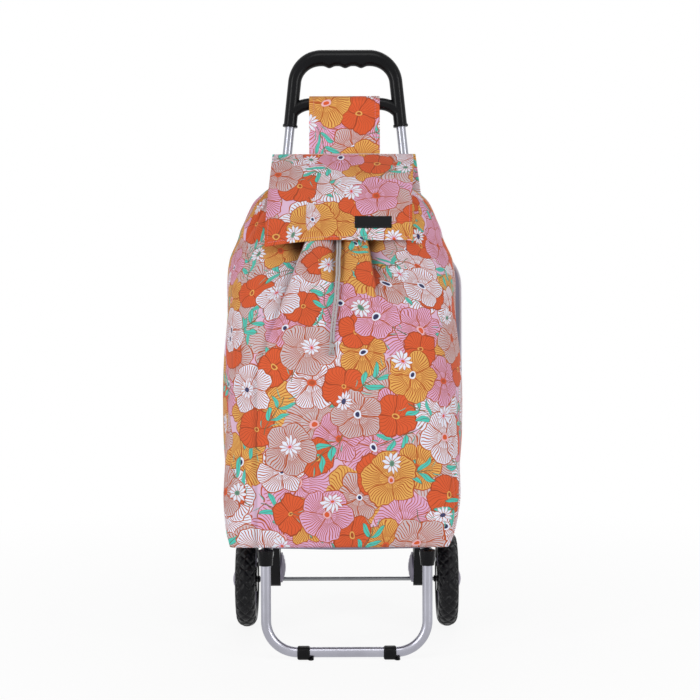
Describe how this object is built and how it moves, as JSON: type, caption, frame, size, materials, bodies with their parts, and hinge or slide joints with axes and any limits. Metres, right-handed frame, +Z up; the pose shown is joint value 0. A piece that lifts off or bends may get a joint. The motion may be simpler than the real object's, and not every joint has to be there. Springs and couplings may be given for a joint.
{
  "type": "shopping trolley",
  "caption": "Shopping trolley on wheels: printed drawstring bag with an opening flap, on a leaning tube frame with a moulded handle, spinning wheels and a front stand that folds up.",
  "frame": {"origin": "on the floor, below the middle of the whole trolley without its drawcord", "axes": "+X to the right as seen from the front, +Y to the back where the handle and wheels are, +Z up"},
  "size_m": [0.3882, 0.3202, 0.9802],
  "materials": {
    "black_plastic": "moulded, fine grain",
    "anodised_tube": "anodised, satin",
    "steel": "plain, fine",
    "grey_plastic": "moulded, satin",
    "print_fabric": "printed polyester canvas",
    "grey_fabric": "plain woven",
    "cord": "braided",
    "leatherette": "grained",
    "foot_rubber": "matt",
    "tyre_foam": "matt foam"
  },
  "bodies": {
    "frame": {"handle": "black_plastic", "handle_screws": "steel", "upright_left": "anodised_tube", "upright_right": "anodised_tube", "cross_brace": "anodised_tube", "brace_clip_left": "black_plastic", "brace_clip_right": "black_plastic", "axle_bracket_left": "black_plastic", "axle_bracket_right": "black_plastic", "bracket_cover_left": "grey_plastic", "bracket_cover_right": "grey_plastic", "bracket_bolts": "steel", "pivot_pins": "steel", "axle": "steel", "axle_spacers": "black_plastic", "axle_push_nuts": "steel", "bag_body": "print_fabric", "bag_base": "grey_fabric", "back_panel": "grey_fabric", "back_yoke": "print_fabric", "brace_tabs": "grey_fabric", "hanging_strap": "print_fabric", "drawcord_left": "cord", "drawcord_right": "cord", "drawcord_knot": "cord"},
    "wheel_left": {"tyre_left": "tyre_foam", "hub_left": "grey_plastic", "hub_washer_left": "black_plastic", "hub_cap_left": "grey_plastic"},
    "wheel_right": {"tyre_right": "tyre_foam", "hub_right": "grey_plastic", "hub_washer_right": "black_plastic", "hub_cap_right": "grey_plastic"},
    "stand": {"stand_knuckle_left": "black_plastic", "stand_knuckle_right": "black_plastic", "stand_arm_left": "anodised_tube", "stand_arm_right": "anodised_tube", "stand_elbow_left": "black_plastic", "stand_elbow_right": "black_plastic", "stand_rivets": "steel", "stand_leg_frame": "anodised_tube", "rubber_foot_left": "foot_rubber", "rubber_foot_right": "foot_rubber"},
    "flap": {"flap": "print_fabric", "flap_patch": "leatherette"}
  },
  "joints": [
    {"name": "wheel_left_spin", "type": "hinge", "parent": "frame", "child": "wheel_left", "pos_m": [-0.17, 0.07712, 0.08], "axis": [1, 0, 0], "continuous": true},
    {"name": "wheel_right_spin", "type": "hinge", "parent": "frame", "child": "wheel_right", "pos_m": [0.17, 0.07712, 0.08], "axis": [1, 0, 0], "continuous": true},
    {"name": "stand_fold", "type": "hinge", "parent": "frame", "child": "stand", "pos_m": [0, 0.03213, 0.163], "axis": [1, 0, 0], "range_deg": [-94, 0], "deforming": ["bag_body", "bag_base"]},
    {"name": "flap_hinge", "type": "hinge", "parent": "frame", "child": "flap", "pos_m": [0, 0.11852, 0.80097], "axis": [-1, 0, 0], "range_deg": [0, 110]}
  ]
}
